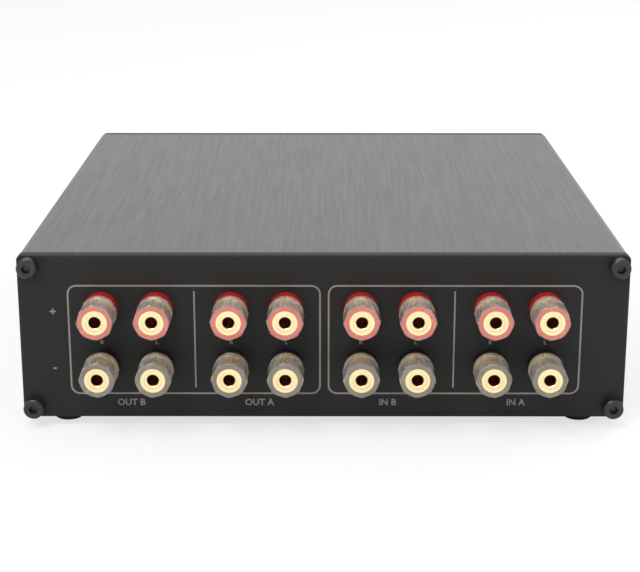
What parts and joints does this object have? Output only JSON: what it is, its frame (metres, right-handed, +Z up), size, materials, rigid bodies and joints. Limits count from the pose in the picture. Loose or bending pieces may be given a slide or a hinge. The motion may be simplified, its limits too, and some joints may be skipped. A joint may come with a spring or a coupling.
{
  "type": "speaker selector switch",
  "caption": "Flat black desktop box with clear-capped binding posts on the back and toggle levers on the front, choosing which amplifier drives which speakers.",
  "frame": {"origin": "on the table, under the middle of the overall box", "axes": "+Z up; +Y from the front panel with the toggles towards the back with the binding posts; +X to the right seen from the front"},
  "size_m": [0.211, 0.253, 0.0625],
  "materials": {
    "case_black": "satin black anodised aluminium, fine even grain",
    "panel_black": "matte black coat on aluminium plate, finely textured",
    "screw_black": "black oxide on steel, slight sheen",
    "foot_rubber": "matte black rubber",
    "gold_plate": "bright gold plate on brass",
    "tin_plate": "dull tin plate on brass",
    "nickel_plate": "bright nickel plate",
    "red_moulding": "dark red glossy moulding",
    "black_moulding": "black glossy moulding",
    "red_clear_moulding": "clear moulding with a red ring in its face",
    "smoke_clear_moulding": "clear moulding with a smoke-grey ring in its face",
    "switch_moulding": "black thermoset moulding",
    "lead_covering": "soft lead covering"
  },
  "bodies": {
    "chassis": {"upper_shell": "case_black", "lower_shell": "case_black", "front_panel": "panel_black", "rear_panel": "panel_black", "front_panel_screws": "screw_black", "rear_panel_screws": "screw_black", "rubber_feet": "foot_rubber", "terminal_stems": "gold_plate", "terminal_nuts": "gold_plate", "solder_tags": "tin_plate", "red_base_insulators": "red_moulding", "black_base_insulators": "black_moulding", "inner_insulators": "black_moulding", "switch_bushings": "nickel_plate", "switch_nuts": "nickel_plate", "switch_lock_washers": "nickel_plate", "switch_cases": "switch_moulding", "switch_terminals": "tin_plate", "amp_wires": "lead_covering", "speaker_wires": "lead_covering", "link_wires": "lead_covering"},
    "amp_lever": {"amp_lever": "nickel_plate", "amp_actuator": "switch_moulding"},
    "amp_contacts": {"amp_contacts": "tin_plate"},
    "speaker_lever": {"speaker_lever": "nickel_plate", "speaker_actuator": "switch_moulding"},
    "speaker_contacts": {"speaker_contacts": "tin_plate"},
    "amp_a_left_red_insert": {"amp_a_left_red_insert": "gold_plate"},
    "amp_a_left_red_sleeve": {"amp_a_left_red_sleeve": "red_clear_moulding"},
    "amp_a_left_black_insert": {"amp_a_left_black_insert": "gold_plate"},
    "amp_a_left_black_sleeve": {"amp_a_left_black_sleeve": "smoke_clear_moulding"},
    "amp_a_right_red_insert": {"amp_a_right_red_insert": "gold_plate"},
    "amp_a_right_red_sleeve": {"amp_a_right_red_sleeve": "red_clear_moulding"},
    "amp_a_right_black_insert": {"amp_a_right_black_insert": "gold_plate"},
    "amp_a_right_black_sleeve": {"amp_a_right_black_sleeve": "smoke_clear_moulding"},
    "amp_b_left_red_insert": {"amp_b_left_red_insert": "gold_plate"},
    "amp_b_left_red_sleeve": {"amp_b_left_red_sleeve": "red_clear_moulding"},
    "amp_b_left_black_insert": {"amp_b_left_black_insert": "gold_plate"},
    "amp_b_left_black_sleeve": {"amp_b_left_black_sleeve": "smoke_clear_moulding"},
    "amp_b_right_red_insert": {"amp_b_right_red_insert": "gold_plate"},
    "amp_b_right_red_sleeve": {"amp_b_right_red_sleeve": "red_clear_moulding"},
    "amp_b_right_black_insert": {"amp_b_right_black_insert": "gold_plate"},
    "amp_b_right_black_sleeve": {"amp_b_right_black_sleeve": "smoke_clear_moulding"},
    "speaker_a_left_red_insert": {"speaker_a_left_red_insert": "gold_plate"},
    "speaker_a_left_red_sleeve": {"speaker_a_left_red_sleeve": "red_clear_moulding"},
    "speaker_a_left_black_insert": {"speaker_a_left_black_insert": "gold_plate"},
    "speaker_a_left_black_sleeve": {"speaker_a_left_black_sleeve": "smoke_clear_moulding"},
    "speaker_a_right_red_insert": {"speaker_a_right_red_insert": "gold_plate"},
    "speaker_a_right_red_sleeve": {"speaker_a_right_red_sleeve": "red_clear_moulding"},
    "speaker_a_right_black_insert": {"speaker_a_right_black_insert": "gold_plate"},
    "speaker_a_right_black_sleeve": {"speaker_a_right_black_sleeve": "smoke_clear_moulding"},
    "speaker_b_left_red_insert": {"speaker_b_left_red_insert": "gold_plate"},
    "speaker_b_left_red_sleeve": {"speaker_b_left_red_sleeve": "red_clear_moulding"},
    "speaker_b_left_black_insert": {"speaker_b_left_black_insert": "gold_plate"},
    "speaker_b_left_black_sleeve": {"speaker_b_left_black_sleeve": "smoke_clear_moulding"},
    "speaker_b_right_red_insert": {"speaker_b_right_red_insert": "gold_plate"},
    "speaker_b_right_red_sleeve": {"speaker_b_right_red_sleeve": "red_clear_moulding"},
    "speaker_b_right_black_insert": {"speaker_b_right_black_insert": "gold_plate"},
    "speaker_b_right_black_sleeve": {"speaker_b_right_black_sleeve": "smoke_clear_moulding"}
  },
  "joints": [
    {"name": "amp_lever_tilt", "type": "hinge", "parent": "chassis", "child": "amp_lever", "pos_m": [-0.0655, -0.11201, 0.0312], "axis": [1, 0, 0], "range_deg": [0, 25]},
    {"name": "amp_contact_rock", "type": "hinge", "parent": "chassis", "child": "amp_contacts", "pos_m": [-0.0655, -0.10081, 0.0312], "axis": [1, 0, 0], "range_deg": [-22, 0]},
    {"name": "speaker_lever_tilt", "type": "hinge", "parent": "chassis", "child": "speaker_lever", "pos_m": [0.0655, -0.11201, 0.0312], "axis": [1, 0, 0], "range_deg": [-25, 0]},
    {"name": "speaker_contact_rock", "type": "hinge", "parent": "chassis", "child": "speaker_contacts", "pos_m": [0.0655, -0.10081, 0.0312], "axis": [1, 0, 0], "range_deg": [0, 22]},
    {"name": "amp_a_left_red_travel", "type": "slide", "parent": "chassis", "child": "amp_a_left_red_insert", "axis": [0, 1, 0], "range_m": [0, 0.005]},
    {"name": "amp_a_left_red_turn", "type": "hinge", "parent": "amp_a_left_red_insert", "child": "amp_a_left_red_sleeve", "pos_m": [-0.07702, 0.10999, 0.04325], "axis": [0, 1, 0], "range_deg": [0, 1800]},
    {"name": "amp_a_left_black_travel", "type": "slide", "parent": "chassis", "child": "amp_a_left_black_insert", "axis": [0, 1, 0], "range_m": [0, 0.005]},
    {"name": "amp_a_left_black_turn", "type": "hinge", "parent": "amp_a_left_black_insert", "child": "amp_a_left_black_sleeve", "pos_m": [-0.07702, 0.10999, 0.02275], "axis": [0, 1, 0], "range_deg": [0, 1800]},
    {"name": "amp_a_right_red_travel", "type": "slide", "parent": "chassis", "child": "amp_a_right_red_insert", "axis": [0, 1, 0], "range_m": [0, 0.005]},
    {"name": "amp_a_right_red_turn", "type": "hinge", "parent": "amp_a_right_red_insert", "child": "amp_a_right_red_sleeve", "pos_m": [-0.05797, 0.10999, 0.04325], "axis": [0, 1, 0], "range_deg": [0, 1800]},
    {"name": "amp_a_right_black_travel", "type": "slide", "parent": "chassis", "child": "amp_a_right_black_insert", "axis": [0, 1, 0], "range_m": [0, 0.005]},
    {"name": "amp_a_right_black_turn", "type": "hinge", "parent": "amp_a_right_black_insert", "child": "amp_a_right_black_sleeve", "pos_m": [-0.05797, 0.10999, 0.02275], "axis": [0, 1, 0], "range_deg": [0, 1800]},
    {"name": "amp_b_left_red_travel", "type": "slide", "parent": "chassis", "child": "amp_b_left_red_insert", "axis": [0, 1, 0], "range_m": [0, 0.005]},
    {"name": "amp_b_left_red_turn", "type": "hinge", "parent": "amp_b_left_red_insert", "child": "amp_b_left_red_sleeve", "pos_m": [-0.03202, 0.10999, 0.04325], "axis": [0, 1, 0], "range_deg": [0, 1800]},
    {"name": "amp_b_left_black_travel", "type": "slide", "parent": "chassis", "child": "amp_b_left_black_insert", "axis": [0, 1, 0], "range_m": [0, 0.005]},
    {"name": "amp_b_left_black_turn", "type": "hinge", "parent": "amp_b_left_black_insert", "child": "amp_b_left_black_sleeve", "pos_m": [-0.03202, 0.10999, 0.02275], "axis": [0, 1, 0], "range_deg": [0, 1800]},
    {"name": "amp_b_right_red_travel", "type": "slide", "parent": "chassis", "child": "amp_b_right_red_insert", "axis": [0, 1, 0], "range_m": [0, 0.005]},
    {"name": "amp_b_right_red_turn", "type": "hinge", "parent": "amp_b_right_red_insert", "child": "amp_b_right_red_sleeve", "pos_m": [-0.01298, 0.10999, 0.04325], "axis": [0, 1, 0], "range_deg": [0, 1800]},
    {"name": "amp_b_right_black_travel", "type": "slide", "parent": "chassis", "child": "amp_b_right_black_insert", "axis": [0, 1, 0], "range_m": [0, 0.005]},
    {"name": "amp_b_right_black_turn", "type": "hinge", "parent": "amp_b_right_black_insert", "child": "amp_b_right_black_sleeve", "pos_m": [-0.01298, 0.10999, 0.02275], "axis": [0, 1, 0], "range_deg": [0, 1800]},
    {"name": "speaker_a_left_red_travel", "type": "slide", "parent": "chassis", "child": "speaker_a_left_red_insert", "axis": [0, 1, 0], "range_m": [0, 0.005]},
    {"name": "speaker_a_left_red_turn", "type": "hinge", "parent": "speaker_a_left_red_insert", "child": "speaker_a_left_red_sleeve", "pos_m": [0.01298, 0.10999, 0.04325], "axis": [0, 1, 0], "range_deg": [0, 1800]},
    {"name": "speaker_a_left_black_travel", "type": "slide", "parent": "chassis", "child": "speaker_a_left_black_insert", "axis": [0, 1, 0], "range_m": [0, 0.005]},
    {"name": "speaker_a_left_black_turn", "type": "hinge", "parent": "speaker_a_left_black_insert", "child": "speaker_a_left_black_sleeve", "pos_m": [0.01298, 0.10999, 0.02275], "axis": [0, 1, 0], "range_deg": [0, 1800]},
    {"name": "speaker_a_right_red_travel", "type": "slide", "parent": "chassis", "child": "speaker_a_right_red_insert", "axis": [0, 1, 0], "range_m": [0, 0.005]},
    {"name": "speaker_a_right_red_turn", "type": "hinge", "parent": "speaker_a_right_red_insert", "child": "speaker_a_right_red_sleeve", "pos_m": [0.03202, 0.10999, 0.04325], "axis": [0, 1, 0], "range_deg": [0, 1800]},
    {"name": "speaker_a_right_black_travel", "type": "slide", "parent": "chassis", "child": "speaker_a_right_black_insert", "axis": [0, 1, 0], "range_m": [0, 0.005]},
    {"name": "speaker_a_right_black_turn", "type": "hinge", "parent": "speaker_a_right_black_insert", "child": "speaker_a_right_black_sleeve", "pos_m": [0.03202, 0.10999, 0.02275], "axis": [0, 1, 0], "range_deg": [0, 1800]},
    {"name": "speaker_b_left_red_travel", "type": "slide", "parent": "chassis", "child": "speaker_b_left_red_insert", "axis": [0, 1, 0], "range_m": [0, 0.005]},
    {"name": "speaker_b_left_red_turn", "type": "hinge", "parent": "speaker_b_left_red_insert", "child": "speaker_b_left_red_sleeve", "pos_m": [0.05797, 0.10999, 0.04325], "axis": [0, 1, 0], "range_deg": [0, 1800]},
    {"name": "speaker_b_left_black_travel", "type": "slide", "parent": "chassis", "child": "speaker_b_left_black_insert", "axis": [0, 1, 0], "range_m": [0, 0.005]},
    {"name": "speaker_b_left_black_turn", "type": "hinge", "parent": "speaker_b_left_black_insert", "child": "speaker_b_left_black_sleeve", "pos_m": [0.05797, 0.10999, 0.02275], "axis": [0, 1, 0], "range_deg": [0, 1800]},
    {"name": "speaker_b_right_red_travel", "type": "slide", "parent": "chassis", "child": "speaker_b_right_red_insert", "axis": [0, 1, 0], "range_m": [0, 0.005]},
    {"name": "speaker_b_right_red_turn", "type": "hinge", "parent": "speaker_b_right_red_insert", "child": "speaker_b_right_red_sleeve", "pos_m": [0.07702, 0.10999, 0.04325], "axis": [0, 1, 0], "range_deg": [0, 1800]},
    {"name": "speaker_b_right_black_travel", "type": "slide", "parent": "chassis", "child": "speaker_b_right_black_insert", "axis": [0, 1, 0], "range_m": [0, 0.005]},
    {"name": "speaker_b_right_black_turn", "type": "hinge", "parent": "speaker_b_right_black_insert", "child": "speaker_b_right_black_sleeve", "pos_m": [0.07702, 0.10999, 0.02275], "axis": [0, 1, 0], "range_deg": [0, 1800]}
  ],
  "couplings": [
    {"joint": "amp_contact_rock", "follows": "amp_lever_tilt", "ratio": -0.88},
    {"joint": "speaker_contact_rock", "follows": "speaker_lever_tilt", "ratio": -0.88},
    {"joint": "amp_a_left_red_turn", "follows": "amp_a_left_red_travel", "rad_per_m": 6283.2},
    {"joint": "amp_a_left_black_turn", "follows": "amp_a_left_black_travel", "rad_per_m": 6283.2},
    {"joint": "amp_a_right_red_turn", "follows": "amp_a_right_red_travel", "rad_per_m": 6283.2},
    {"joint": "amp_a_right_black_turn", "follows": "amp_a_right_black_travel", "rad_per_m": 6283.2},
    {"joint": "amp_b_left_red_turn", "follows": "amp_b_left_red_travel", "rad_per_m": 6283.2},
    {"joint": "amp_b_left_black_turn", "follows": "amp_b_left_black_travel", "rad_per_m": 6283.2},
    {"joint": "amp_b_right_red_turn", "follows": "amp_b_right_red_travel", "rad_per_m": 6283.2},
    {"joint": "amp_b_right_black_turn", "follows": "amp_b_right_black_travel", "rad_per_m": 6283.2},
    {"joint": "speaker_a_left_red_turn", "follows": "speaker_a_left_red_travel", "rad_per_m": 6283.2},
    {"joint": "speaker_a_left_black_turn", "follows": "speaker_a_left_black_travel", "rad_per_m": 6283.2},
    {"joint": "speaker_a_right_red_turn", "follows": "speaker_a_right_red_travel", "rad_per_m": 6283.2},
    {"joint": "speaker_a_right_black_turn", "follows": "speaker_a_right_black_travel", "rad_per_m": 6283.2},
    {"joint": "speaker_b_left_red_turn", "follows": "speaker_b_left_red_travel", "rad_per_m": 6283.2},
    {"joint": "speaker_b_left_black_turn", "follows": "speaker_b_left_black_travel", "rad_per_m": 6283.2},
    {"joint": "speaker_b_right_red_turn", "follows": "speaker_b_right_red_travel", "rad_per_m": 6283.2},
    {"joint": "speaker_b_right_black_turn", "follows": "speaker_b_right_black_travel", "rad_per_m": 6283.2}
  ]
}
